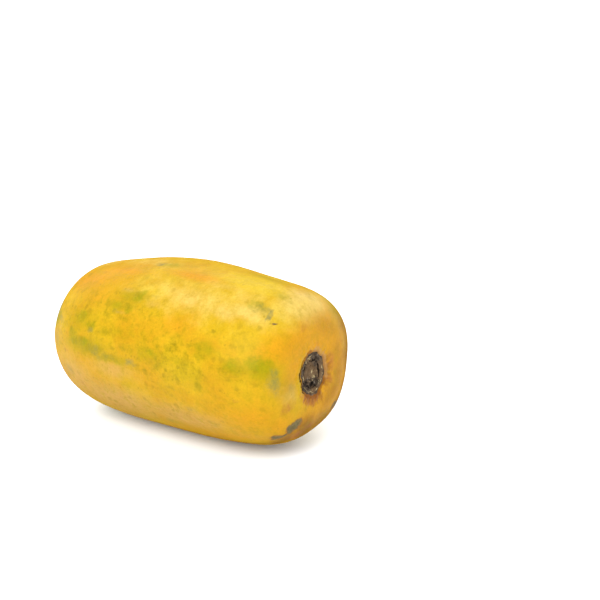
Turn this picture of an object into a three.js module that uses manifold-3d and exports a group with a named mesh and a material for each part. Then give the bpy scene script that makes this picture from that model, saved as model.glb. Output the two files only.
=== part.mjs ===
import * as THREE from 'three';
import { mergeVertices } from 'three/addons/utils/BufferGeometryUtils.js';
import Module from 'manifold-3d';

// A whole ripe papaya, in millimetres, lying on its side on z = 0.
// The long axis runs along X with the stem end at +X, and +Z is up.
// Angles around the fruit start at +Y and turn through +Z, so 90 degrees is the top.

// Body of revolution before it is made uneven: two half ovals that meet at the widest section
const fruitRadius = 59;
const halfLength = 106;
const widestAt = 6.4;
const stemHalf = { side: 1, reach: halfLength - widestAt, lengthPower: 3.3, radiusPower: 5.0 };
const blossomHalf = { side: -1, reach: halfLength + widestAt, lengthPower: 3.2, radiusPower: 4.4 };

// Bow of the long axis: both ends together, and more at the stem end than at the other
const bow = { y: -2.0, z: -1.2 };
const stemLean = { y: 0.5, z: 1.4 };

// Five shallow ridges, stronger toward the stem end
const ridges = { count: 5, angle: 24.6, height: 0.2, heightAtStem: 1.2 };

// Broad swells and flats that make the body uneven
const swellReachAlong = 30;
const swellReachAround = 39;
const swells = [
  { x: -63.6, angle: 68, height: -2.7 },
  { x: 0, angle: 70, height: 1.1 },
  { x: 63.6, angle: 74, height: -2.1 },
  { x: 93.3, angle: 44, height: 2.6 },
  { x: 84.8, angle: -50, height: -2.2 },
  { x: 63.6, angle: 255, height: -1.2 },
];

// Stem scar: a sunken oval corky disc with a low stump, in a shallow hollow of the end
const scar = { y: -2.4, z: -1.0, radiusAcross: 12.6, radiusUp: 14.4, depth: 1.3, wall: 1.2 };
const hollow = { depth: 1.6, radius: 21 };
const stump = { height: 1.0, radius: 5.5 };

// Blossom end: a shallow dimple with the dried point of the flower in it
const dimple = { depth: 2.4, radius: 14 };
const nub = { height: 2.0, radius: 2.6 };

// Flat spot pressed by the fruit's own weight
const pressedDepth = 0.8;

// Fineness of the surface
const segments = 66;
const capShare = 0.8;
const barrelSteps = 22;
const scarDetail = { steps: 11, size: 1.7, capSteps: 8 };
const blossomDetail = { steps: 5, size: 2.4, capSteps: 9 };

const degrees = Math.PI / 180;

function radiusAt(x) {
  const half = x > widestAt ? stemHalf : blossomHalf;
  const share = Math.abs(x - widestAt) / half.reach;
  return fruitRadius * (1 - share ** half.lengthPower) ** (1 / half.radiusPower);
}

function endAt(radius, half) {
  const share = 1 - (radius / fruitRadius) ** half.radiusPower;
  return widestAt + half.side * half.reach * share ** (1 / half.lengthPower);
}

// Points of one cap from the pole out: small steps over the detail, then even steps to the barrel
function capPoints(half, detail) {
  const inner = detail.steps * detail.size;
  const outer = capShare * fruitRadius;
  const radii = [0];
  for (let i = 1; i <= detail.steps; i += 1) {
    radii.push(i * detail.size);
  }
  for (let i = 1; i <= detail.capSteps; i += 1) {
    radii.push(inner + ((outer - inner) * i) / detail.capSteps);
  }
  return radii.map((radius) => new THREE.Vector2(radius, endAt(radius, half)));
}

// Points of the barrel, closer together near both shoulders than in the middle
function barrelPoints(start, end) {
  const points = [];
  for (let i = 1; i < barrelSteps; i += 1) {
    const even = i / barrelSteps;
    const eased = (1 - Math.cos(Math.PI * even)) / 2;
    const x = start + ((end - start) * (even + eased)) / 2;
    points.push(new THREE.Vector2(radiusAt(x), x));
  }
  return points;
}

function hump(distance, reach) {
  return Math.exp(-((distance / reach) ** 2));
}

function unevenness(x, angle) {
  const towardStem = Math.max(x / halfLength, 0);
  const height = ridges.height + ridges.heightAtStem * towardStem ** 2;
  let sum = height * Math.cos(ridges.count * (angle - ridges.angle * degrees));
  for (const swell of swells) {
    const turn = angle - swell.angle * degrees;
    const around = fruitRadius * Math.atan2(Math.sin(turn), Math.cos(turn));
    sum += swell.height * hump(x - swell.x, swellReachAlong) * hump(around, swellReachAround);
  }
  return sum;
}

function stemRelief(y, z) {
  const meanRadius = (scar.radiusAcross + scar.radiusUp) / 2;
  const share = Math.hypot((y - scar.y) / scar.radiusAcross, (z - scar.z) / scar.radiusUp);
  const distance = share * meanRadius;
  const sunken = 1 / (1 + Math.exp((4 * (distance - meanRadius)) / scar.wall));
  return (
    stump.height * hump(distance, stump.radius) -
    scar.depth * sunken -
    hollow.depth * hump(distance, hollow.radius)
  );
}

function blossomRelief(y, z) {
  const distance = Math.hypot(y, z);
  return dimple.depth * hump(distance, dimple.radius) - nub.height * hump(distance, nub.radius);
}

function bodyGeometry() {
  const blossomCap = capPoints(blossomHalf, blossomDetail);
  const stemCap = capPoints(stemHalf, scarDetail).reverse();
  const barrel = barrelPoints(blossomCap.at(-1).y, stemCap[0].y);
  const lathe = new THREE.LatheGeometry([...blossomCap, ...barrel, ...stemCap], segments);
  lathe.deleteAttribute('normal');
  lathe.deleteAttribute('uv');
  const place = lathe.attributes.position;
  for (let i = 0; i < place.count; i += 1) {
    const x = place.getY(i);
    const evenRadius = Math.hypot(place.getX(i), place.getZ(i));
    const angle = Math.atan2(place.getX(i), place.getZ(i));
    const radius = evenRadius + unevenness(x, angle) * (evenRadius / fruitRadius);
    const y = radius * Math.cos(angle);
    const z = radius * Math.sin(angle);
    const along = x / halfLength;
    place.setXYZ(
      i,
      x + (x > 0 ? stemRelief(y, z) : blossomRelief(y, z)),
      y + bow.y * along ** 2 + stemLean.y * along ** 3,
      z + bow.z * along ** 2 + stemLean.z * along ** 3,
    );
  }
  return mergeVertices(lathe);
}

const wasm = await Module();
wasm.setup();

function toSolid(geometry) {
  const vertProperties = Float32Array.from(geometry.attributes.position.array);
  const triVerts = Uint32Array.from(geometry.index.array);
  return new wasm.Manifold(new wasm.Mesh({ numProp: 3, vertProperties, triVerts }));
}

function toGeometry(solid) {
  const mesh = solid.getMesh();
  const geometry = new THREE.BufferGeometry();
  geometry.setAttribute('position', new THREE.BufferAttribute(mesh.vertProperties, 3));
  geometry.setIndex(new THREE.BufferAttribute(mesh.triVerts, 1));
  geometry.computeVertexNormals();
  return geometry;
}

// Centre the body over the origin and press its lowest stretch flat on z = 0
function rest(geometry) {
  geometry.computeBoundingBox();
  const centre = geometry.boundingBox.getCenter(new THREE.Vector3());
  geometry.translate(-centre.x, -centre.y, -geometry.boundingBox.min.z - pressedDepth);
  const floor = new THREE.BoxGeometry(4 * halfLength, 4 * fruitRadius, 2 * fruitRadius);
  floor.deleteAttribute('normal');
  floor.deleteAttribute('uv');
  floor.translate(0, 0, -fruitRadius);
  return toGeometry(toSolid(geometry).subtract(toSolid(mergeVertices(floor))));
}

const skin = new THREE.MeshStandardMaterial({ color: 0xeeb62f, roughness: 0.45, metalness: 0 });
const papaya = new THREE.Mesh(rest(bodyGeometry()), skin);
papaya.name = 'papaya';

const group = new THREE.Group();
group.add(papaya);

export default group;
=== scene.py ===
import math
import bpy
import numpy as np
from mathutils import Matrix, Vector, noise


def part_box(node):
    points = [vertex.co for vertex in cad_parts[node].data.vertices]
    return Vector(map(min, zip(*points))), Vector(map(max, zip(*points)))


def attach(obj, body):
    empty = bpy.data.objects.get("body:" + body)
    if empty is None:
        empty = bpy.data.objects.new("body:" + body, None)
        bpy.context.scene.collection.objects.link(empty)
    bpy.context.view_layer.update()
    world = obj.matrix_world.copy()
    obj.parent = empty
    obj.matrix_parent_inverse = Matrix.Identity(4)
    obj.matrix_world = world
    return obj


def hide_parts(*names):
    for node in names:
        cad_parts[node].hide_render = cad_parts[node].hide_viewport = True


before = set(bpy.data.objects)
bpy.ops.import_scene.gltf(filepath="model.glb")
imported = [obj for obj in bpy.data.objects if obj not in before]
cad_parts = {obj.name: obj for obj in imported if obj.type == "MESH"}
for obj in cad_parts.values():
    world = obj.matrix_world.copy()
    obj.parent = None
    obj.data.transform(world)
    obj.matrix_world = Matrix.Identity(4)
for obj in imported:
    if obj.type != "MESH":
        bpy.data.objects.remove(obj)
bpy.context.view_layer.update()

boxLow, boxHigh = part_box("papaya")
print("frame loaded")

# the shape is worked out in millimetres, and the finished mesh is fitted to the frame's box in metres
# "along" is millimetres over the skin from the middle toward the stem end
# "around" is degrees from +Y over the top, and "shift" picks a stretch of noise
body = {
    "radius": 59.0,
    "halfLength": 106.0,
    "widestAt": 6.4,              # toward the stem end
    "stemPowers": (3.3, 5.0),     # along, across: larger is blunter
    "blossomPowers": (3.2, 4.4),
    "bow": (-2.0, -1.2),          # y and z drift of both ends
    "stemLean": (0.5, 1.4),       # and what the stem end adds to it
    "ridgeCount": 5,
    "ridgeAngle": 24.6,
    "ridgeHeight": 0.2,
    "ridgeHeightAtStem": 1.2,
    "swellReach": (30.0, 39.0),   # along, around
    "swells": [                   # x, around, height
        (-63.6, 68, -2.7),
        (0.0, 70, 1.1),
        (63.6, 74, -2.1),
        (93.3, 44, 2.6),
        (84.8, -50, -2.2),
        (63.6, 255, -1.2),
    ],
    "pressedDepth": 0.8,          # how far the resting spot is pressed in
    "skinWaves": [                # height, per millimetre, shift
        (0.16, 0.055, 2.3),
        (0.035, 0.22, 7.9),
    ],
    "dents": [                    # along, around, reach, depth
        (90, 122, 1.6, 0.35),
        (97, 125, 1.2, 0.25),
        (112, 111, 1.3, 0.30),
        (24, 125, 1.4, 0.18),
        (-19, 101, 3.0, 0.25),
        (62, 134, 6.0, 0.20),
        (108, 236, 5.0, 0.45),
        (95, 235, 3.0, 0.30),
        (-74, 197, 2.4, 0.20),
        (-30, 330, 5.0, 0.35),
        (45, 20, 4.0, 0.30),
        (70, 290, 3.0, 0.30),
    ],
}

fineness = {
    "segments": 300,
    "scarStep": 0.35,             # between rings at the stem scar
    "scarReach": 21.0,            # and how far from the axis they stay that close
    "blossomStep": 0.5,
    "blossomReach": 9.0,
    "growth": 1.07,
    "largestStep": 1.25,
    "shoulderShare": 0.8,         # of the radius, where rings go from caps to barrel
    "barrelSamples": 4000,
    "stemEndRings": 120,          # rings searched for a place on the stem end
}

scar = {
    "centre": (-2.2, -1.0),       # across, up from the fruit's axis
    "radius": (12.1, 14.3),       # across, up
    "depth": 1.3,
    "wall": 0.9,
    "edgeWaves": [                # height, per millimetre, shift
        (1.5, 0.16, 3.1),
        (0.75, 0.55, 9.7),
    ],
    "detailReach": 3.0,           # in radii: farther out there is no fine detail
    "hollow": (1.6, 21.0),        # depth, reach
    "stump": (1.0, 5.5),          # height, reach
    "rim": (0.7, 0.84, 0.10),     # height, place and width as shares of the radius
    "groove": (0.7, 0.66, 0.05),
    "plate": (0.9, 0.50),         # height and reach of the stump's worn face
    "fibres": (0.26, 1.9, 3),     # height, spacing, how soon they rise from the middle
    "fibreBend": (3.2, 0.5),      # how far the crust and the waves of the edge bend them
    "crust": (0.42, 0.24, 4, 1.7),    # height, per millimetre, octaves, shift
    "crumbs": (0.22, 0.95, 3, 5.3),
    "strands": (0.55, 1.0, 3, 8.1),
    "strandGrain": (1.1, 0.28, 1),    # close together across, and drawn out upward
    "strandFade": 1.6,            # larger keeps the strands high farther out
    "lip": (0.55, 4.4, 1.6),      # height, distance outside the scar, width
    "crack": (1.1, 1.5, 0.6),     # depth, distance outside the scar, width
    "lipSide": (180, 0.95),       # where lip and crack are strongest, and radians to each side
    "folds": (0.13, 22, 10.0),    # height, count, reach: radial folds outside the scar
    "foldBend": 2.5,
    "pits": [                     # across and up from the scar's centre, reach across and up, depth
        (0.6, -7.0, 1.9, 1.5, 1.9),
        (7.8, 1.6, 0.7, 3.2, 2.2),
        (3.4, -2.6, 1.0, 0.8, 0.9),
        (-2.6, 3.0, 0.6, 2.4, 0.8),
        (-5.4, -5.2, 0.8, 2.0, 0.7),
        (2.6, 8.0, 2.2, 0.6, 0.8),
        (-6.8, 5.0, 0.6, 1.6, 0.8),
        (4.6, -10.0, 1.6, 0.6, 0.8),
        (-0.4, 0.6, 0.9, 0.7, 0.5),
    ],
}
meanScarRadius = sum(scar["radius"]) / 2

blossom = {
    "dimple": (2.4, 14.0),        # depth, reach
    "nub": (2.0, 2.6),            # height, reach
    "rays": (0.35, 5, 9.0),       # height, count, reach
    "crumbs": (0.45, 0.75, 3, 4.4),   # height, per millimetre, octaves, shift
    "crumbReach": 3.6,            # the dried flower's rough foot
}


def hump(distance, reach):
    return np.exp(-(distance / reach) ** 2)


def waves(points, height, perMillimetre, shift):
    offset = Vector((shift, shift, shift))
    return np.array([height * noise.noise(Vector(p) * perMillimetre + offset) for p in points])


def roughWaves(points, height, perMillimetre, octaves, shift):
    # the same with finer waves on top, each a little over twice as fine as the last
    smoothing, finer = 0.8, 2.1
    offset = Vector((shift, shift, shift))
    places = [Vector(p) * perMillimetre + offset for p in points]
    return np.array([height * noise.fractal(place, smoothing, finer, octaves) for place in places])


def wavesWhere(chosen, points, makeWaves, settings):
    # waves at the chosen points only, and nothing at the others
    heights = np.zeros(len(points))
    heights[chosen.reshape(-1)] = makeWaves(points[chosen.reshape(-1)], *settings)
    return heights.reshape(chosen.shape)


def halfFruit(side):
    # length of one half and its powers: side is 1 toward the stem and -1 toward the blossom
    powers = body["stemPowers"] if side > 0 else body["blossomPowers"]
    return body["halfLength"] - side * body["widestAt"], *powers


def radiusAt(x):
    reach, along, across = halfFruit(1 if x > body["widestAt"] else -1)
    share = abs(x - body["widestAt"]) / reach
    return body["radius"] * (1 - share ** along) ** (1 / across)


def endAt(radius, side):
    reach, along, across = halfFruit(side)
    share = 1 - (radius / body["radius"]) ** across
    return body["widestAt"] + side * reach * share ** (1 / along)


def capRings(side, firstStep, reach):
    # rings of one end from the pole out: even over the fine detail, then growing
    outer = fineness["shoulderShare"] * body["radius"]
    rings = []
    radius = 0.0
    step = firstStep
    while radius + step < outer:
        radius += step
        rings.append((endAt(radius, side), radius))
        if radius > reach:
            step = min(step * fineness["growth"], fineness["largestStep"])
    return rings


def barrelRings(start, end):
    # even steps measured over the skin
    fine = np.linspace(start, end, fineness["barrelSamples"])
    radii = np.array([radiusAt(x) for x in fine])
    over = np.concatenate([[0], np.cumsum(np.hypot(np.diff(fine), np.diff(radii)))])
    count = int(over[-1] / fineness["largestStep"])
    places = np.interp(np.linspace(0, over[-1], count + 1)[1:-1], over, fine)
    return [(x, radiusAt(x)) for x in places]


def profileRings():
    blossomCap = capRings(-1, fineness["blossomStep"], fineness["blossomReach"])
    stemCap = capRings(1, fineness["scarStep"], fineness["scarReach"])[::-1]
    return np.array(blossomCap + barrelRings(blossomCap[-1][0], stemCap[0][0]) + stemCap)


def unevenness(x, angle):
    towardStem = np.clip(x / body["halfLength"], 0, 1)
    height = body["ridgeHeight"] + body["ridgeHeightAtStem"] * towardStem ** 2
    total = height * np.cos(body["ridgeCount"] * (angle - math.radians(body["ridgeAngle"])))
    reachAlong, reachAround = body["swellReach"]
    for along, degrees, swell in body["swells"]:
        turn = np.angle(np.exp(1j * (angle - math.radians(degrees))))
        total = total + swell * hump(x - along, reachAlong) * hump(body["radius"] * turn, reachAround)
    return total


def crustDetail(y, z):
    # height of the cork's own relief, the waves of its edge, and distance and direction from its middle
    dy, dz = y - scar["centre"][0], z - scar["centre"][1]
    share = np.hypot(dy / scar["radius"][0], dz / scar["radius"][1])
    distance = share * meanScarRadius
    direction = np.arctan2(dz, dy)
    flat = np.stack([dy, dz, np.zeros_like(dy)], axis=-1).reshape(-1, 3)
    near = share < scar["detailReach"]
    wobble = sum(wavesWhere(near, flat, waves, wave) for wave in scar["edgeWaves"])
    crust = wavesWhere(near, flat, roughWaves, scar["crust"])
    crumbs = wavesWhere(near, flat, roughWaves, scar["crumbs"])
    strands = wavesWhere(near, flat * scar["strandGrain"], roughWaves, scar["strands"])
    strands = strands * np.clip(scar["strandFade"] * (1 - share), 0, 1)
    bent = distance + scar["fibreBend"][0] * crust + scar["fibreBend"][1] * wobble
    fibreHeight, spacing, rise = scar["fibres"]
    fibres = fibreHeight * np.sin(2 * math.pi * bent / spacing) * np.clip(rise * share, 0, 1)
    bentShare = bent / meanScarRadius
    detail = (scar["rim"][0] * hump(bentShare - scar["rim"][1], scar["rim"][2])
              - scar["groove"][0] * hump(bentShare - scar["groove"][1], scar["groove"][2])
              + scar["plate"][0] * hump(bentShare / scar["plate"][1], 1.0) ** 2
              + fibres + crust + crumbs + strands)
    for across, up, wide, tall, depth in scar["pits"]:
        detail = detail - depth * np.exp(-((dy - across) / wide) ** 2 - ((dz - up) / tall) ** 2)
    return detail, wobble, distance, direction


def onFloor(edge):
    # 1 on the scar's floor and 0 on the skin, with a smooth wall between them
    steepness = 4 / scar["wall"]
    largest = 40                  # so that exp doesn't overflow
    return 1 / (1 + np.exp(np.clip(steepness * edge, -largest, largest)))


def stemRelief(y, z):
    detail, wobble, distance, direction = crustDetail(y, z)
    edge = distance + wobble - meanScarRadius
    lipDirection, lipSpread = scar["lipSide"]
    turn = np.angle(np.exp(1j * (direction - math.radians(lipDirection))))
    side = hump(turn, lipSpread)
    lip = scar["lip"][0] * hump(edge - scar["lip"][1], scar["lip"][2]) * side
    crack = scar["crack"][0] * hump(edge - scar["crack"][1], scar["crack"][2]) * side
    foldHeight, count, reach = scar["folds"]
    outside = np.clip(edge / reach, 0, 1)
    rise = outside * (1 - outside) ** 2 * 27 / 4    # 0 at both ends and 1 at its highest
    folds = foldHeight * np.cos(count * direction + scar["foldBend"] * wobble) * rise
    return (onFloor(edge) * (detail - scar["depth"])
            + scar["stump"][0] * hump(distance, scar["stump"][1])
            - scar["hollow"][0] * hump(distance, scar["hollow"][1])
            + lip - crack + folds)


def blossomRelief(y, z):
    # a dimple with a rough nub in it and shallow rays between; positive is inward here
    distance = np.hypot(y, z)
    rayHeight, rayCount, rayReach = blossom["rays"]
    rise = (distance / rayReach) * hump(distance, rayReach)
    rays = rayHeight * np.cos(rayCount * np.arctan2(z, y)) * rise
    flat = np.stack([y, z, np.zeros_like(y)], axis=-1).reshape(-1, 3)
    near = distance < 3 * blossom["crumbReach"]     # farther out they fade to nothing
    crumbs = wavesWhere(near, flat, roughWaves, blossom["crumbs"]) * hump(distance, blossom["crumbReach"])
    dimple = blossom["dimple"][0] * hump(distance, blossom["dimple"][1])
    nub = blossom["nub"][0] * hump(distance, blossom["nub"][1])
    return dimple - nub + rays + crumbs


def surface(x, evenRadius, angle):
    radius = evenRadius + unevenness(x, angle) * evenRadius / body["radius"]
    y = radius * np.cos(angle)
    z = radius * np.sin(angle)
    along = x / body["halfLength"]
    relief = np.where(x > 0, stemRelief(y, z), blossomRelief(y, z))
    return np.stack([
        x + relief,
        y + body["bow"][0] * along ** 2 + body["stemLean"][0] * along ** 3,
        z + body["bow"][1] * along ** 2 + body["stemLean"][1] * along ** 3,
    ], axis=-1)


def skinDistances(rings):
    # each ring's place along the skin
    steps = np.hypot(np.diff(rings[:, 0]), np.diff(rings[:, 1]))
    over = np.concatenate([[0], np.cumsum(steps)])
    return over - np.interp(0.0, rings[:, 0], over)


def gridFaces(ringCount, segments):
    faces = []
    blossomPole = ringCount * segments
    stemPole = blossomPole + 1
    for i in range(segments):
        following = (i + 1) % segments
        faces.append((blossomPole, following, i))
        for k in range(ringCount - 1):
            a, b = k * segments + i, k * segments + following
            faces.append((a, b, b + segments, a + segments))
        last = (ringCount - 1) * segments
        faces.append((stemPole, last + i, last + following))
    return faces


def gridNormals(grid):
    alongStep = np.gradient(grid, axis=0)
    aroundStep = np.roll(grid, -1, axis=1) - np.roll(grid, 1, axis=1)
    normals = np.cross(aroundStep, alongStep)
    return normals / np.maximum(np.linalg.norm(normals, axis=-1, keepdims=True), 1e-9)


def fitToFrame(points):
    # centre on the frame's box, then press the lowest stretch flat on its floor
    low, high = points.min(axis=0), points.max(axis=0)
    low[2] += body["pressedDepth"]
    boxSize = np.array(boxHigh) - np.array(boxLow)
    fitted = (points - low) * boxSize / (high - low) + np.array(boxLow)
    fitted[:, 2] = np.maximum(fitted[:, 2], boxLow[2])
    return fitted


class FruitSkin:
    # the grid of points and what is measured on it

    def __init__(self):
        self.rings = profileRings()
        self.segments = fineness["segments"]
        self.over = skinDistances(self.rings)
        turns = np.arange(self.segments) * 2 * math.pi / self.segments
        self.x = np.repeat(self.rings[:, :1], self.segments, axis=1)
        self.radius = np.repeat(self.rings[:, 1:], self.segments, axis=1)
        self.angle = np.repeat(turns[None], len(self.rings), axis=0)
        grid = surface(self.x, self.radius, self.angle)
        poles = [surface(np.array([s * body["halfLength"]]), np.zeros(1), np.zeros(1))[0] for s in (-1, 1)]
        plain = np.concatenate([grid.reshape(-1, 3), poles])
        normals = np.concatenate([gridNormals(grid).reshape(-1, 3), [(-1, 0, 0), (1, 0, 0)]])
        height = sum(waves(plain, *wave) for wave in body["skinWaves"])
        for along, around, reach, depth in body["dents"]:
            centre = grid[self.cell(along, around)]
            height -= depth * hump(np.linalg.norm(plain - centre, axis=1), reach)
        self.points = fitToFrame(plain + normals * height[:, None])
        self.grid = self.points[:-2].reshape(len(self.rings), self.segments, 3)
        self.normals = gridNormals(self.grid)

    def cell(self, along, around):
        ring = np.interp(along, self.over, np.arange(len(self.rings)))
        segment = int(round(around / 360 * self.segments)) % self.segments
        return int(np.clip(ring, 1, len(self.rings) - 2)), segment

    def onStemEnd(self, across, up):
        # along and around of a point given across and up from the axis on the stem end
        count = fineness["stemEndRings"]
        radii, places = self.rings[::-1, 1][:count], self.over[::-1][:count]
        along = float(np.interp(math.hypot(across, up), radii, places))
        return along, math.degrees(math.atan2(up, across)) % 360

    def frameAt(self, along, around):
        # a place on the skin with its directions: toward the stem, around, and out
        ring, segment = self.cell(along, around)
        out = Vector(self.normals[ring, segment])
        toward = Vector(self.grid[ring + 1, segment] - self.grid[ring - 1, segment])
        toward = (toward - out * toward.dot(out)).normalized()
        return Vector(self.grid[ring, segment]), toward, out.cross(toward), out

    def zone(self, patches):
        # a soft mask over the whole skin: the strongest of several patches
        mask = np.zeros(len(self.points))
        for along, around, longReach, wideReach, strength in patches:
            place, toward, across, out = self.frameAt(along, around)
            away = self.points - np.array(place)
            thickness = 10 + 0.4 * min(longReach, wideReach)    # keeps a patch on its own side of the fruit
            down = away @ np.array(toward) / (longReach / 1000)
            side = away @ np.array(across) / (wideReach / 1000)
            deep = away @ np.array(out) / (thickness / 1000)
            mask = np.maximum(mask, strength * np.exp(-(down ** 2 + side ** 2 + deep ** 4)))
        return mask


skin = FruitSkin()
print("skin points:", len(skin.points))

# colour zones over the skin: along, around, reach along, reach around, strength
zones = {
    "greenish": [
        (-60, 156, 20, 12, 0.6), (-50, 173, 26, 7, 0.9), (-18, 134, 17, 7, 0.8), (-28, 142, 12, 5, 0.7),
        (-16, 160, 24, 6, 0.45), (14, 170, 26, 7, 0.6), (-20, 178, 26, 4, 0.7), (58, 159, 14, 6, 0.6),
        (82, 167, 14, 6, 0.75), (101, 165, 12, 7, 0.9), (-12, 101, 14, 4, 0.55), (66, 84, 24, 6, 0.6),
        (50, 176, 30, 7, 0.45), (90, 102, 9, 5, 0.5), (118, 182, 9, 12, 0.4), (20, 221, 14, 3, 0.4),
        (-40, 30, 42, 26, 0.8), (35, 350, 40, 24, 0.6), (-70, 255, 26, 20, 0.8), (55, 290, 30, 22, 0.7),
        (-105, 90, 20, 20, 0.8), (-120, 250, 16, 16, 0.9), (98, 45, 18, 12, 0.7), (5, 270, 45, 22, 0.5),
    ],
    # tan: its large patches on the lower side are partly a painted reflection of the pale floor and partly
    # painted shade
    "tanAndFloorReflection": [
        (-78, 205, 34, 22, 0.9), (-30, 213, 46, 18, 0.95), (30, 212, 40, 13, 0.75),
        (-90, 172, 12, 18, 0.6), (-40, 250, 50, 30, 0.8), (60, 265, 40, 24, 0.5),
        (-60, 300, 50, 30, 0.6), (4, 137, 9, 4, 0.5), (-24, 130, 7, 2.5, 0.6), (-20, 147, 7, 2, 0.4),
        (60, 131, 18, 8, 0.35), (34, 129, 6, 4, 0.35), (119, 195, 9, 12, 0.5), (82, 119, 8, 4, 0.4),
        (-24, 185, 26, 9, 0.7),
    ],
    "orange": [
        (-70, 122, 26, 7, 0.8), (-40, 113, 26, 4, 0.7), (-45, 138, 20, 7, 0.5), (18, 108, 24, 5, 0.9),
        (24, 148, 20, 9, 0.5), (88, 206, 24, 16, 0.75), (104, 222, 16, 12, 0.7), (-84, 123, 10, 8, 0.6),
        (126, 90, 13, 60, 1.0), (124, 150, 10, 30, 0.8), (126, 20, 18, 60, 1.0),
        (124, 300, 16, 60, 1.0), (-60, 60, 40, 24, 0.6), (20, 310, 60, 24, 0.5),
        (-110, 160, 20, 50, 0.4), (70, 226, 40, 6, 0.5),
    ],
    "lemon": [
        (66, 99, 36, 13, 1.0), (30, 118, 34, 8, 0.45), (96, 112, 12, 12, 0.7), (40, 40, 50, 26, 0.5),
        (-70, 140, 20, 8, 0.4), (-2, 127, 14, 6, 0.7), (112, 215, 10, 16, 0.35), (74, 160, 24, 10, 0.3),
    ],
    # painted highlight: pale cream patches on the top and shoulders that stand in for the soft reflection
    # of the lamps
    "paintedHighlight": [
        (62, 131, 18, 7, 0.6), (36, 129, 10, 5, 0.35), (101, 90, 12, 26, 1.0), (98, 108, 10, 8, 0.6),
        (76, 112, 14, 6, 0.4), (50, 112, 26, 5, 0.4), (-72, 99, 14, 7, 0.5), (-28, 97, 36, 10, 0.4),
        (6, 136, 10, 4, 0.35), (-24, 130, 5, 2, 0.35), (34, 126, 50, 15, 0.55), (0, 122, 30, 10, 0.4),
        (72, 118, 20, 12, 0.45), (77, 126, 20, 8, 0.8), (0, 60, 30, 16, 0.4), (118, 195, 6, 10, 0.25),
    ],
    # partly real browning, and partly painted shade: darker along the bottom rim where the fruit meets the
    # floor, round the lower and far side of the stem end, and on the end face's side turned from the lamp
    "brownAndPaintedShade": [
        (96, 242, 15, 7, 0.9), (107, 257, 12, 12, 1.0), (110, 274, 9, 9, 0.6), (107, 283, 11, 20, 0.8),
        (107, 308, 10, 22, 0.65), (107, 335, 10, 24, 0.6), (108, 0, 11, 26, 0.75),
        (107, 28, 10, 20, 0.6), (70, 240, 40, 5, 0.6), (30, 237, 50, 5, 0.5), (-20, 235, 50, 4, 0.3),
        (84, 268, 30, 14, 0.6), (20, 275, 30, 12, 0.4), (-140, 0, 9, 9, 0.7), (117, 60, 9, 24, 0.35),
        (122, 312, 9, 18, 0.55), (121, 342, 9, 18, 0.55), (123, 12, 9, 16, 0.4),
    ],
    "freckled": [
        (30, 168, 44, 20, 1.0), (-40, 160, 50, 24, 0.9), (-10, 145, 40, 14, 0.6),
        (80, 170, 30, 20, 0.7), (40, 205, 60, 14, 0.5), (-20, 205, 60, 16, 0.5), (0, 20, 80, 40, 0.7),
        (0, 300, 80, 50, 0.6),
    ],
}


def setAttribute(mesh, name, values):
    attribute = mesh.attributes.new(name, "FLOAT", "POINT")
    attribute.data.foreach_set("value", values.astype(np.float32))


def scarAttributes():
    # how far each point is from the scar's edge in millimetres, and the cork's own height there
    farAway = 99.0
    stemEndFrom = 60.0            # no scar at a smaller x than this
    uneven = skin.radius + unevenness(skin.x, skin.angle) * skin.radius / body["radius"]
    y, z = uneven * np.cos(skin.angle), uneven * np.sin(skin.angle)
    detail, wobble, distance = crustDetail(y, z)[:3]
    edge = np.where(skin.x > stemEndFrom, distance + wobble - meanScarRadius, farAway)
    height = np.where(edge < 1, detail, 0.0)
    return np.append(edge, [farAway, -meanScarRadius]), np.append(height, [0.0, 0.0])


def makePapaya():
    mesh = bpy.data.meshes.new("papaya_skin")
    mesh.from_pydata(skin.points.tolist(), [], gridFaces(len(skin.rings), skin.segments))
    mesh.shade_smooth()
    for name, patches in zones.items():
        setAttribute(mesh, name, skin.zone(patches))
    edge, height = scarAttributes()
    setAttribute(mesh, "scarEdge", edge)
    setAttribute(mesh, "crustHeight", height)
    papaya = bpy.data.objects.new("papaya_skin", mesh)
    bpy.context.collection.objects.link(papaya)
    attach(papaya, "root")
    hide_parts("papaya")
    return papaya


papaya = makePapaya()
print("papaya mesh:", len(papaya.data.vertices), "vertices")


def fromHex(text):
    # a screen colour as the linear red, green, blue and alpha of the nodes
    parts = [int(text[i:i + 2], 16) / 255 for i in (0, 2, 4)]
    return tuple(p / 12.92 if p <= 0.04045 else ((p + 0.055) / 1.055) ** 2.4 for p in parts) + (1.0,)


def coloursOf(look):
    return {name: fromHex(text) for name, text in look["colours"].items()}


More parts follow.
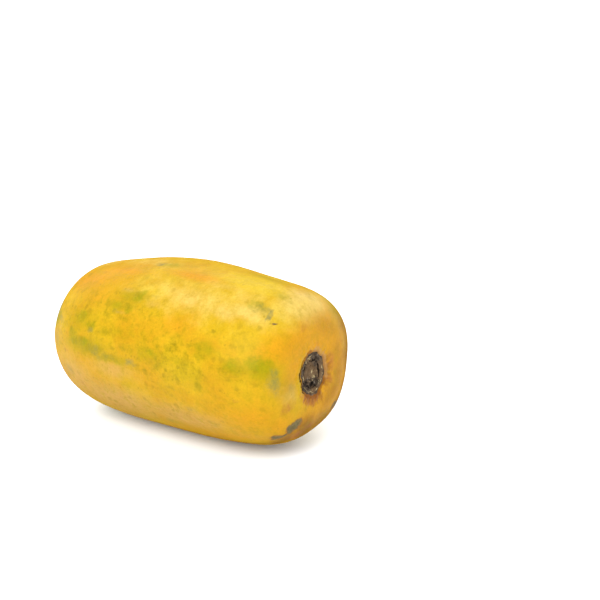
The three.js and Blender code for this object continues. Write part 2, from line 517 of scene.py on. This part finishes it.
class NodeBoard:
    # short calls for a material's nodes; a value is a socket or plain numbers

    def __init__(self, name):
        self.material = bpy.data.materials.new(name)
        self.material.use_nodes = True
        self.nodes = self.material.node_tree.nodes
        self.links = self.material.node_tree.links
        self.shader = self.nodes["Principled BSDF"]
        self.place = self.nodes.new("ShaderNodeTexCoord").outputs["Object"]

    def feed(self, socket, value):
        if isinstance(value, bpy.types.NodeSocket):
            self.links.new(value, socket)
        else:
            socket.default_value = value

    def attribute(self, name):
        node = self.nodes.new("ShaderNodeAttribute")
        node.attribute_name = name
        return node.outputs["Fac"]

    def noise(self, perMetre, detail, roughness, where=None, output="Fac"):
        node = self.nodes.new("ShaderNodeTexNoise")
        self.feed(node.inputs["Vector"], where or self.place)
        node.inputs["Scale"].default_value = perMetre
        node.inputs["Detail"].default_value = detail
        node.inputs["Roughness"].default_value = roughness
        return node.outputs[output]

    def operate(self, kind, operation, values):
        node = self.nodes.new(kind)
        node.operation = operation
        for socket, value in zip(node.inputs, values):
            self.feed(socket, value)
        return node.outputs[0]

    def math(self, operation, *values):
        return self.operate("ShaderNodeMath", operation, values)

    def vector(self, operation, *values):
        return self.operate("ShaderNodeVectorMath", operation, values)

    def ramp(self, value, start, end, low=0.0, high=1.0):
        # a smooth step from low to high between start and end
        node = self.nodes.new("ShaderNodeMapRange")
        node.interpolation_type = "SMOOTHSTEP"
        self.feed(node.inputs["Value"], value)
        for name, number in (("From Min", start), ("From Max", end), ("To Min", low), ("To Max", high)):
            node.inputs[name].default_value = number
        return node.outputs["Result"]

    def mix(self, factor, first, second):
        node = self.nodes.new("ShaderNodeMix")
        node.data_type = "RGBA"
        self.feed(node.inputs["Factor"], factor)
        self.feed(node.inputs[6], first)      # its two colours and its colour out
        self.feed(node.inputs[7], second)
        return node.outputs[2]

    def shifted(self, bends):
        # the place with noise added: (per metre, metres) pairs bend the outlines of marks
        where = self.place
        for perMetre, reach in bends:
            noiseColour = self.noise(perMetre, 2.0, 0.5, output="Color")
            centred = self.vector("SUBTRACT", noiseColour, (0.5, 0.5, 0.5))
            where = self.vector("MULTIPLY_ADD", centred, (2 * reach,) * 3, where)
        return where

    def mark(self, where, along, around, longReach, wideReach, tilt, strength):
        # an oval spot on the skin, strongest in its middle and nothing at its edge
        place, toward, across, out = skin.frameAt(along, around)
        turned = Matrix((toward, across, out)).transposed() @ Matrix.Rotation(math.radians(tilt), 3, "Z")
        deepReach = max(wideReach, 6.0)       # so that a narrow spot still reaches through the skin
        node = self.nodes.new("ShaderNodeMapping")
        node.vector_type = "TEXTURE"
        self.feed(node.inputs["Vector"], where)
        node.inputs["Location"].default_value = place
        node.inputs["Rotation"].default_value = turned.to_euler()
        node.inputs["Scale"].default_value = (longReach / 1000, wideReach / 1000, deepReach / 1000)
        ball = self.nodes.new("ShaderNodeTexGradient")
        ball.gradient_type = "SPHERICAL"
        self.links.new(node.outputs["Vector"], ball.inputs["Vector"])
        middle = 0.9                          # of the way in, from where it is at full strength
        return self.ramp(ball.outputs["Fac"], 0.0, middle, 0.0, strength)

    def marks(self, where, spots, endSpots=()):
        placed = list(spots)
        for across, up, *shape in endSpots:
            placed.append((*skin.onStemEnd(across, up), *shape))
        total = self.mark(where, *placed[0])
        for spot in placed[1:]:
            total = self.math("MAXIMUM", total, self.mark(where, *spot))
        return total

    def ragged(self, mask, pattern, amount, start, end, high):
        # a soft mask broken up by a pattern: whole in its middle, flecks toward its edge
        weakest = 0.12                        # flecks fade out where the mask is weaker than this
        broken = self.math("ADD", self.math("MULTIPLY_ADD", pattern, amount, -0.5 * amount), mask)
        flecks = self.ramp(broken, start, end, 0.0, high)
        return self.math("MULTIPLY", flecks, self.ramp(mask, 0.0, weakest))

    def bump(self, height, strength, distance, normal=None):
        node = self.nodes.new("ShaderNodeBump")
        node.inputs["Strength"].default_value = strength
        node.inputs["Distance"].default_value = distance
        self.feed(node.inputs["Height"], height)
        if normal is not None:
            self.links.new(normal, node.inputs["Normal"])
        return node.outputs["Normal"]


# in all the looks below, a noise is: per metre, detail, roughness
# a ramp is: from, to, and the results at both if they aren't 0 and 1
# a break is: how much a pattern breaks the mask up, where the mask starts, where it is full, strongest

skinLook = {
    "colours": {
        "golden": "AA8A12",
        "deeper": "A87E10",
        "lemon": "B0941A",
        "orange": "B07C12",
        # tan, partly a painted reflection of the floor and painted shade on the lower side
        "tanAndFloorReflection": "A47F3C",
        "olive": "917A08",
        "green": "7C7806",
        # pale cream, used only for the painted highlight
        "paintedHighlight": "B89E50",
        # brown for real browning, and also for painted shade on the lower rim and the stem end's shaded
        # side
        "brownAndPaintedShade": "70480A",
        "freckle": "72620A",
        "rust": "70400F",
    },
    "noises": {
        "blush": (26, 4.0, 0.55),
        "mottle": (95, 6.0, 0.62),
        "flecks": (150, 7.0, 0.66),
        "veins": (185, 6.0, 0.7),
        "dimples": (260, 3.0, 0.5),
        "speckle": (520, 4.0, 0.62),
        "grain": (700, 3.0, 0.6),
        "pores": (1500, 3.0, 0.6),
    },
    "deeperRamp": (0.35, 0.65),           # on the blush
    "layers": [                           # colour, zone, noise, break
        ("lemon", "lemon", "mottle", (0.6, 0.05, 0.9, 0.95)),
        ("orange", "orange", "mottle", (0.9, 0.05, 0.9, 0.95)),
        # tan, partly painted reflection and painted shade on the lower side
        ("tanAndFloorReflection", "tanAndFloorReflection", "mottle", (0.8, 0.05, 0.9, 0.85)),
        ("olive", "greenish", "mottle", (0.9, 0.05, 0.9, 0.95)),
        # the painted highlight of the lamps on the upper skin
        ("paintedHighlight", "paintedHighlight", "mottle", (0.8, 0.05, 0.9, 0.85)),
        # brown over real browning and painted shade
        ("brownAndPaintedShade", "brownAndPaintedShade", "mottle", (0.8, 0.05, 0.9, 0.9)),
        ("green", "greenish", "flecks", (2.2, 0.6, 1.6, 0.7)),
    ],
    "veins": [                            # colour, ramp, whether freckled skin has more of it
        ("olive", (0.45, 0.66), True),
        ("freckle", (0.50, 0.70, 0.0, 0.5), True),
        ("orange", (0.30, 0.46, 0.22, 0.0), False),
    ],
    "veinAmount": (0.6, 0.2),             # on freckled skin, and everywhere
    "grainShade": (0.3, 0.7, 0.94, 1.05),     # ramps to brightness
    "mottleShade": (0.3, 0.7, 0.93, 1.05),
    "roughness": (0.3, 0.7, 0.28, 0.40),  # ramp on the mottle
    "specular": 0.05,
    "turnedAway": 0.3,                    # larger counts the skin as turned away sooner
    "dullRim": (0.15, 0.7, 0.0, 0.9),     # ramp on how far the skin turns away: roughness
    "bumps": [                            # noise, strength, metres
        ("pores", 0.3, 0.0002),
        ("dimples", 0.35, 0.0006),
    ],
}

freckles = {
    "dots": [                             # per metre, size, share, strength
        (170, 0.50, 0.5, 0.42),
        (380, 0.42, 0.35, 0.42),
    ],
    "dotCore": 0.3,                       # share of a dot's size at full strength
    "dotBend": (1.4, 0.25),               # outline noise: how much finer than the dots, reach in dots
    "onPlainSkin": 0.15,                  # as a share of those on freckled skin
    "faintest": 0.25,
    "specks": (300, 4.0, 0.62),
    "speckStretch": (0.55, 1, 1),         # drawn out along the fruit
    "speckShare": 0.5,
    "speckBreak": (2.6, 0.4, 1.2, 0.5),
}

softMark = {
    "bends": [(110, 0.0035), (420, 0.0012)],
    "break": (1.3, 0.15, 1.2),            # the strongest is each mark's own depth
    "speckle": (0.34, 0.66, 0.6, 1.0),    # ramp: the skin shows through in specks
}

crispMark = {
    "bends": [(160, 0.0025), (600, 0.0009)],
    "break": (0.9, 0.3, 0.8),
    "rimBreak": (0.9, 0.1, 0.5, 0.6),
    "speckle": (0.42, 0.62),              # ramp from its colour to its worn colour
}

# spots: along, around, reach along, reach around, tilt, strength
# end spots: across, up on the stem end, reach inward, reach aside, tilt, strength
skinMarks = {
    "green": {
        "colour": "7B7606",
        "depth": 0.85,
        "spots": [
            (-58, 154, 8, 7, 0, 0.9), (-46, 160, 9, 6, 0, 0.9), (-65, 165, 9, 6, 0, 0.8),
            (-63, 171, 13, 7, 0, 0.85), (-52, 171, 13, 6, 5, 1.0), (-13, 133, 11, 7, 20, 1.1),
            (-16, 143, 10, 5, 0, 0.9), (-36, 139, 9, 5, 0, 0.6), (-27, 141, 11, 5, 10, 0.7),
            (-28, 130, 7, 4, 0, 0.4), (-48, 142, 12, 4, 0, 0.4), (-64, 142, 9, 4, 0, 0.35),
            (100, 161, 18, 10, 0, 1.15), (96, 169, 13, 9, 0, 0.6), (104, 165, 9, 9, 0, 0.5),
            (81, 166, 16, 8, 0, 0.85), (58, 157, 14, 8, 0, 0.75), (57, 163, 8, 6, 0, 0.5),
            (55, 182, 6, 8, 0, 0.6), (12, 168, 12, 6, 0, 0.7), (21, 174, 12, 6, 0, 0.65),
            (36, 168, 14, 5, 0, 0.5), (45, 170, 8, 5, 0, 0.5), (70, 174, 10, 4, 0, 0.45),
            (-12, 162, 9, 4, 0, 0.45), (-44, 174, 12, 6, 0, 0.6), (-30, 177, 20, 5, 6, 0.6),
            (-15, 179, 10, 4, 0, 0.7), (-8, 101, 14, 4.5, 0, 0.7), (90, 101, 10, 7, 0, 0.6),
            (60, 82, 20, 6, 0, 0.5), (110, 172, 9, 14, 0, 0.6), (18, 221, 12, 4, 0, 0.4),
            (-90, 156, 11, 12, 0, 0.9), (-97, 145, 9, 16, 0, 1.0), (80, 119, 13, 9, 0, 0.9),
            (74, 112, 8, 6, 0, 0.5), (66, 234, 14, 6, 0, 0.4), (-40, 30, 12, 8, 20, 0.8),
            (-20, 45, 9, 6, 0, 0.7), (60, 300, 12, 8, 0, 0.8),
        ],
    },
    "olive": {
        "colour": "84700A",
        "depth": 0.85,
        "spots": [
            (-42, 174, 16, 6, 5, 1.2), (-26, 178, 18, 5, 6, 1.1), (-60, 171, 12, 6, 0, 0.9),
            (-15, 132, 7, 5, 0, 1.0), (-18, 142, 9, 4, 10, 1.0), (-36, 142, 7, 4, 0, 1.0),
            (-55, 142, 9, 6, 0, 0.75), (-58, 155, 4, 5, 0, 1.1), (-46, 161, 5, 5, 0, 1.0),
            (-64, 166, 6, 4, 0, 0.9), (-32, 162, 10, 4, 0, 0.85), (9, 166, 6, 3, 0, 0.9),
            (20, 174, 5, 4, 0, 1.0), (44, 169, 6, 4, 0, 1.0), (54, 182, 6, 6, 0, 1.0),
            (-55, 169, 6, 4, 0, 1.0), (-13, 169, 8, 4, 0, 0.9), (30, 188, 9, 4, 0, 0.75),
            (-2, 152, 6, 3, 0, 0.85), (34, 152, 7, 3, 0, 0.75), (70, 196, 8, 4, 0, 0.75),
            (-40, 40, 10, 7, 15, 0.8), (10, 35, 9, 5, 0, 0.9), (50, 10, 8, 6, 0, 1.0),
            (-20, 345, 12, 6, 20, 1.0), (30, 320, 9, 6, 0, 0.9), (-60, 20, 9, 6, 0, 0.9),
        ],
    },
    "blueGrey": {
        "colour": "726C3C",
        "depth": 0.85,
        "spots": [
            (109, 176, 9, 16, 0, 0.8), (84, 120, 14, 9, 0, 0.7), (91, 121, 3.0, 9, 0, 1.6),
            (88, 117, 5, 6, 0, 0.7), (-41, 174, 9, 8, 0, 0.6), (-56, 173, 13, 6, 0, 0.3),
            (-32, 177, 13, 6, 6, 0.45), (-5, 178, 9, 6, 0, 0.95), (-28, 178, 20, 6, 6, 0.4),
            (121, 188, 8, 9, 0, 0.5), (-18, 100, 8, 5, 30, 1.0), (-74, 197, 8, 8, 0, 0.7),
            (43, 201, 10, 6, 0, 0.5), (15, 221, 11, 5, 0, 0.5), (-97, 148, 9, 17, 0, 1.4),
            (-92, 153, 7, 10, 0, 0.7), (-84, 156, 8, 4, 0, 0.6), (-46, 162, 7, 5, 0, 0.6),
            (70, 20, 11, 7, 0, 0.6), (-88, 172, 10, 10, 0, 0.6), (-25, 147, 9, 3, 0, 0.4),
            (2, 131, 8, 3, 0, 0.4), (60, 213, 16, 5, 0, 0.35),
        ],
        "endSpots": [
            (-38, 4, 9, 11, 0, 0.6),
        ],
    },
    "brownScar": {
        "colour": "4E4A30",
        "rim": "7C4A24",                  # a mark with a rim is a crisp one
        "worn": "5F5A3A",
        "depth": 0.9,
        "spots": [
            (107, 235, 6, 5.5, 20, 1.1), (111, 238, 7, 5.5, 20, 1.2), (114, 240, 5, 4, 20, 0.8),
            (96, 234, 8, 4, 0, 0.9), (101, 235, 8, 2, 0, 0.9), (97, 125, 3.2, 1.6, 30, 0.9),
            (24, 14, 8, 1.6, -25, 0.7), (-62, 338, 4, 2.4, 10, 0.6), (-140, 0, 5.6, 4.8, 0, 1.4),
        ],
        "endSpots": [
            (20, -29, 4, 8, 0, 0.9), (26, -30, 5, 9, 0, 0.7),
        ],
    },
    "bruise": {
        "colour": "8F4E2C",
        "depth": 0.8,
        "spots": [
            (113, 210, 9, 8, 20, 0.75), (118, 213, 7, 5, 0, 0.5), (94, 212, 8, 5, 0, 0.35),
            (-42, 112, 10, 3, 0, 0.35), (-58, 115, 9, 4, 0, 0.35), (50, 230, 20, 4, 0, 0.5),
            (-72, 180, 8, 4, 0, 0.5), (82, 189, 5, 2.5, 0, 0.6), (-30, 228, 20, 4, 0, 0.45),
            (-64, 205, 8, 6, 0, 0.35), (-40, 210, 10, 3, 0, 0.3), (103, 250, 9, 8, 0, 0.7),
            (-140, 0, 7, 6, 0, 0.3),
        ],
        "endSpots": [
            (-9, -16, 7, 12, 0, 1.5), (-1, -18, 5, 8, 0, 1.2), (-15, -12, 5, 6, 0, 1.0),
            (-4, -37, 4, 8, 0, 0.5), (16, 2, 8, 13, 0, 0.8), (-8, 32, 7, 9, 0, 0.7),
            (15, -9, 7, 6, 0, 0.8), (26, 14, 6, 9, 0, 0.5), (10, -41, 4, 12, 0, 0.6),
            (2, 17, 5, 8, 0, 0.5),
        ],
    },
}


def paintLayers(board, look, patterns):
    # broad colours, each breaking into the one below: the cream layer is a painted highlight, the brown
    # layer is partly painted shade, and the tan layer is partly a painted reflection of the floor with
    # painted shade on the lower side
    deeper = board.ramp(patterns["blush"], *skinLook["deeperRamp"])
    colour = board.mix(deeper, look["golden"], look["deeper"])
    for name, zone, pattern, breaking in skinLook["layers"]:
        cover = board.ragged(board.attribute(zone), patterns[pattern], *breaking)
        colour = board.mix(cover, colour, look[name])
    return colour


def paintVeins(board, colour, look, veins):
    amount = board.math("MULTIPLY_ADD", board.attribute("freckled"), *skinLook["veinAmount"])
    for name, ramp, onFreckled in skinLook["veins"]:
        cover = board.ramp(veins, *ramp)
        if onFreckled:
            cover = board.math("MULTIPLY", cover, amount)
        colour = board.mix(cover, colour, look[name])
    return colour


def paintDots(board, colour, shade, perMetre, size, share, strength):
    # scattered soft dots, each of its own strength, denser where the skin is freckled
    finer, reach = freckles["dotBend"]
    dots = board.nodes.new("ShaderNodeTexVoronoi")
    board.feed(dots.inputs["Vector"], board.shifted([(finer * perMetre, reach / perMetre)]))
    dots.inputs["Scale"].default_value = perMetre
    spot = board.ramp(dots.outputs["Distance"], freckles["dotCore"] * size, size, 1.0, 0.0)
    chance = board.nodes.new("ShaderNodeSeparateColor")
    board.links.new(dots.outputs["Color"], chance.inputs[0])
    crowd = board.math("MULTIPLY_ADD", board.attribute("freckled"), share, freckles["onPlainSkin"] * share)
    spot = board.math("MULTIPLY", spot, board.math("LESS_THAN", chance.outputs[0], crowd))
    own = board.ramp(chance.outputs[1], 0.0, 1.0, freckles["faintest"] * strength, strength)
    return board.mix(board.math("MULTIPLY", spot, own), colour, shade)


def paintFreckles(board, colour, shade):
    for dots in freckles["dots"]:
        colour = paintDots(board, colour, shade, *dots)
    longer = board.nodes.new("ShaderNodeMapping")
    board.links.new(board.place, longer.inputs["Vector"])
    longer.inputs["Scale"].default_value = freckles["speckStretch"]
    specks = board.noise(*freckles["specks"], where=longer.outputs["Vector"])
    freckled = board.math("MULTIPLY", board.attribute("freckled"), freckles["speckShare"])
    return board.mix(board.ragged(freckled, specks, *freckles["speckBreak"]), colour, shade)


def paintMarks(board, colour, flecks, speckle):
    for kind in skinMarks.values():
        style = crispMark if "rim" in kind else softMark
        mask = board.marks(board.shifted(style["bends"]), kind["spots"], kind.get("endSpots", ()))
        cover = board.ragged(mask, flecks, *style["break"], kind["depth"])
        own = fromHex(kind["colour"])
        speckled = board.ramp(speckle, *style["speckle"])
        if "rim" in kind:
            rim = board.ragged(mask, flecks, *style["rimBreak"])
            colour = board.mix(rim, colour, fromHex(kind["rim"]))
            own = board.mix(speckled, own, fromHex(kind["worn"]))
        else:
            cover = board.math("MULTIPLY", cover, speckled)
        colour = board.mix(cover, colour, own)
    return colour


# what lies round the stem scar: reach is a ramp on the millimetres from the cork's edge,
# spots are end spots that keep it to its side of the scar, and side is a ramp on them
roundScar = {
    "streaks": {
        "noise": (5.0, 6.0, 0.66),
        "drift": 18,                      # how quickly a streak changes on its way out
        "reach": (0.0, 16.0, 1.0, 0.0),
        "spots": [(17, -2, 14, 20, 0, 1.6), (-3, -18, 8, 16, 0, 1.4)],
        "side": (0.0, 0.7, 0.45, 1.0),
        "break": (1.8, 0.36, 1.1, 0.75),
    },
    "stain": {
        "allRound": (0.4, 3.6, 0.9, 0.0),     # its reach on every side
        "reach": (0.2, 5.5, 1.15, 0.0),
        "spots": [(-3, -17, 9, 17, 0, 1.6)],
        "side": (0.1, 0.8),
        "break": (1.2, 0.3, 0.9, 0.8),
    },
    "rim": {
        "colour": "9A7444",
        "strength": 0.55,
        "reach": (2.2, 5.0, 1.0, 0.0),
        "spots": [(11, 3, 9, 17, 0, 1.6), (4, 12, 7, 9, 0, 1.2)],
        "side": (0.1, 0.7),
    },
    # painted shade: a dark line along the crack outside the scar's left edge, where the crack's shadow
    # falls
    "crack": {
        "colour": "32260E",
        "start": (0.6, 1.2),
        "reach": (1.8, 2.5, 1.0, 0.0),
        "spots": [(-16, -2, 9, 15, 0, 1.6)],
        "side": (0.1, 0.6),
    },
}


def radialPlaces(board):
    # a vector that changes quickly around the stem scar and slowly away from it
    centre = skin.grid[-1].mean(axis=0) + np.array([0, *scar["centre"]]) / 1000
    away = board.vector("MULTIPLY", board.vector("SUBTRACT", board.place, centre), (0, 1, 1))
    drift = (roundScar["streaks"]["drift"],) * 3
    return board.vector("MULTIPLY_ADD", away, drift, board.vector("NORMALIZE", away))


def besideScar(board, edge, part):
    side = board.marks(board.place, (), part["spots"])
    return board.math("MULTIPLY", board.ramp(edge, *part["reach"]), board.ramp(side, *part["side"]))


def paintRoundScar(board, colour, rust, mottle):
    # brown streaks that run out from the cork, a pale rim on one side, and on the other a dark line that is
    # painted shade in the crack
    edge = board.attribute("scarEdge")
    part = roundScar["streaks"]
    streaks = board.noise(*part["noise"], where=radialPlaces(board))
    cover = board.ragged(besideScar(board, edge, part), streaks, *part["break"])
    colour = board.mix(cover, colour, rust)

    part = roundScar["stain"]
    close = board.math("MAXIMUM", board.ramp(edge, *part["allRound"]), besideScar(board, edge, part))
    colour = board.mix(board.ragged(close, mottle, *part["break"]), colour, rust)

    part = roundScar["rim"]
    cover = board.math("MULTIPLY", besideScar(board, edge, part), part["strength"])
    colour = board.mix(cover, colour, fromHex(part["colour"]))

    # painted shade in the crack
    part = roundScar["crack"]
    cover = board.math("MULTIPLY", besideScar(board, edge, part), board.ramp(edge, *part["start"]))
    return board.mix(cover, colour, fromHex(part["colour"]))


corkLook = {
    "colours": {
        # painted shade, for the low places of the crust
        "pitShade": "120D09",
        "dark": "382D22",
        "grey": "5A4D3F",
        "warm": "6A5238",
        "pale": "A8966C",
        "ash": "8C867C",
    },
    "coarse": (330, 5.0, 0.7),            # noises
    "fine": (1300, 4.0, 0.65),
    "greyRamp": (0.38, 0.62),             # on the coarse noise
    "layers": [                           # colour, what it follows, ramp on that, break
        ("warm", "mottle", (0.4, 0.6, 0.0, 0.8), (0.8, 0.3, 0.9, 0.7)),
        ("pale", "height", (0.3, 1.15), (1.3, 0.42, 0.95, 0.85)),
        ("ash", "coarse", (0.52, 0.72), (1.2, 0.55, 1.0, 0.5)),
    ],
    # painted shade: black where the crust is low
    "pitShadeRamp": (-0.9, 0.0, 0.95, 0.0),    # on the height in millimetres
    "edgeRamp": (-0.25, 0.15, 1.0, 0.0),  # on the millimetres from its edge
    "roughness": 0.72,
    "bump": (0.8, 0.0006),                # strength, metres
}


def paintCork(board, mottle):
    # the stem scar: dark brown cork with pale fibres on its ridges, and painted shade that turns it black
    # where its crust is low, in its pits
    look = coloursOf(corkLook)
    fine = board.noise(*corkLook["fine"])
    follows = {
        "mottle": mottle,
        "height": board.attribute("crustHeight"),
        "coarse": board.noise(*corkLook["coarse"]),
    }
    colour = board.mix(board.ramp(follows["coarse"], *corkLook["greyRamp"]), look["dark"], look["grey"])
    for name, followed, ramp, breaking in corkLook["layers"]:
        cover = board.ragged(board.ramp(follows[followed], *ramp), fine, *breaking)
        colour = board.mix(cover, colour, look[name])
    # painted shade in the pits: black where the crust's height is low
    colour = board.mix(board.ramp(follows["height"], *corkLook["pitShadeRamp"]), colour, look["pitShade"])
    return colour, fine


def setRoughness(board, mottle, onCork):
    # duller where the skin turns away from the eye, and on the cork
    grazing = board.nodes.new("ShaderNodeLayerWeight")
    grazing.inputs["Blend"].default_value = skinLook["turnedAway"]
    dull = board.ramp(grazing.outputs["Facing"], *skinLook["dullRim"])
    roughness = board.math("MAXIMUM", board.ramp(mottle, *skinLook["roughness"]), dull)
    rougher = board.math("MULTIPLY", onCork, corkLook["roughness"])
    board.feed(board.shader.inputs["Roughness"], board.math("MAXIMUM", roughness, rougher))
    board.shader.inputs["Specular IOR Level"].default_value = skinLook["specular"]


def makeSkinMaterial():
    board = NodeBoard("ripe_papaya_skin")
    look = coloursOf(skinLook)
    patterns = {name: board.noise(*settings) for name, settings in skinLook["noises"].items()}
    mottle = patterns["mottle"]
    colour = paintLayers(board, look, patterns)
    colour = paintVeins(board, colour, look, patterns["veins"])
    colour = paintFreckles(board, colour, look["freckle"])
    colour = paintMarks(board, colour, patterns["flecks"], patterns["speckle"])
    colour = paintRoundScar(board, colour, look["rust"], mottle)
    cork, crumbs = paintCork(board, mottle)
    onCork = board.ramp(board.attribute("scarEdge"), *corkLook["edgeRamp"])

    # fine light and dark grain over everything
    grainShade = board.ramp(patterns["grain"], *skinLook["grainShade"])
    mottleShade = board.ramp(mottle, *skinLook["mottleShade"])
    shaded = board.nodes.new("ShaderNodeHueSaturation")
    board.feed(shaded.inputs["Value"], board.math("MULTIPLY", grainShade, mottleShade))
    board.feed(shaded.inputs["Color"], board.mix(onCork, colour, cork))
    board.feed(board.shader.inputs["Base Color"], shaded.outputs["Color"])
    setRoughness(board, mottle, onCork)
    normal = None
    for name, strength, metres in skinLook["bumps"]:
        normal = board.bump(patterns[name], strength, metres, normal)
    normal = board.bump(board.math("MULTIPLY", crumbs, onCork), *corkLook["bump"], normal)
    board.feed(board.shader.inputs["Normal"], normal)
    return board.material


papaya.data.materials.append(makeSkinMaterial())
print("material ready")

studio = {
    "floorColour": (0.90, 0.94, 0.99, 1),
    "floorRoughness": 0.9,
    "floorSize": 60.0,
    "skyTowards": (0.0, 1.0, 0.35),       # the room is brightest behind, and dim on the near side
    "skyDimmest": 0.1,
    "skyBrightest": 2.3,
    "lampFrom": (0.12, -1.0, 0.71),
    "lampStrength": 4.0,
    "lampSpread": 60.0,                   # degrees: wide, like a large soft box
}


def makeFloor():
    bpy.ops.mesh.primitive_plane_add(size=studio["floorSize"], location=(0, 0, boxLow[2]))
    floor = bpy.context.object
    floor.name = "floor"
    material = bpy.data.materials.new("pale_floor")
    material.use_nodes = True
    shader = material.node_tree.nodes["Principled BSDF"]
    shader.inputs["Base Color"].default_value = studio["floorColour"]
    shader.inputs["Roughness"].default_value = studio["floorRoughness"]
    floor.data.materials.append(material)


def makeRoom():
    # a white room that brightens toward one side
    world = bpy.data.worlds.new("soft_room")
    bpy.context.scene.world = world
    world.use_nodes = True
    nodes, links = world.node_tree.nodes, world.node_tree.links
    direction = nodes.new("ShaderNodeTexCoord")
    facing = nodes.new("ShaderNodeVectorMath")
    facing.operation = "DOT_PRODUCT"
    facing.inputs[1].default_value = Vector(studio["skyTowards"]).normalized()
    strength = nodes.new("ShaderNodeMapRange")
    strength.inputs["From Min"].default_value = -1.0    # straight away from the bright side
    strength.inputs["To Min"].default_value = studio["skyDimmest"]
    strength.inputs["To Max"].default_value = studio["skyBrightest"]
    links.new(direction.outputs["Generated"], facing.inputs[0])
    links.new(facing.outputs["Value"], strength.inputs["Value"])
    links.new(strength.outputs["Result"], nodes["Background"].inputs["Strength"])
    nodes["Background"].inputs["Color"].default_value = (1, 1, 1, 1)


def makeLamp():
    lamp = bpy.data.lights.new("soft_lamp", "SUN")
    lamp.energy = studio["lampStrength"]
    lamp.angle = math.radians(studio["lampSpread"])
    holder = bpy.data.objects.new("soft_lamp", lamp)
    holder.rotation_euler = (-Vector(studio["lampFrom"])).to_track_quat("-Z", "Y").to_euler()
    bpy.context.collection.objects.link(holder)


makeFloor()
makeRoom()
makeLamp()
bpy.context.scene.view_settings.view_transform = "Standard"

camera = {
    "azimuth": 38.9,              # degrees from the fruit's side toward its stem end
    "elevation": 15.7,
    "roll": -2.1,
    "middle": (0, 0, 0.055),      # of the fruit, in metres
    "distance": 0.943,
    "across": 0.0712,             # how far the view is centred to the right of the middle
    "above": 0.0342,              # and above it
    "lens": 81.4,
}


def makeCamera():
    turn, rise = math.radians(camera["azimuth"]), math.radians(camera["elevation"])
    toCamera = Vector((math.sin(turn) * math.cos(rise), -math.cos(turn) * math.cos(rise), math.sin(rise)))
    right = Vector((0, 0, 1)).cross(toCamera).normalized()
    up = toCamera.cross(right)
    roll = math.radians(camera["roll"])
    right, up = right * math.cos(roll) + up * math.sin(roll), up * math.cos(roll) - right * math.sin(roll)
    place = Vector(camera["middle"]) + right * camera["across"] + up * camera["above"]
    place = place + toCamera * camera["distance"]
    data = bpy.data.cameras.new("camera")
    data.lens = camera["lens"]
    holder = bpy.data.objects.new("camera", data)
    turned = Matrix((right, up, toCamera)).transposed().to_4x4()
    holder.matrix_world = Matrix.Translation(place) @ turned
    bpy.context.collection.objects.link(holder)
    bpy.context.scene.camera = holder


makeCamera()
print("stage, lights and camera ready")
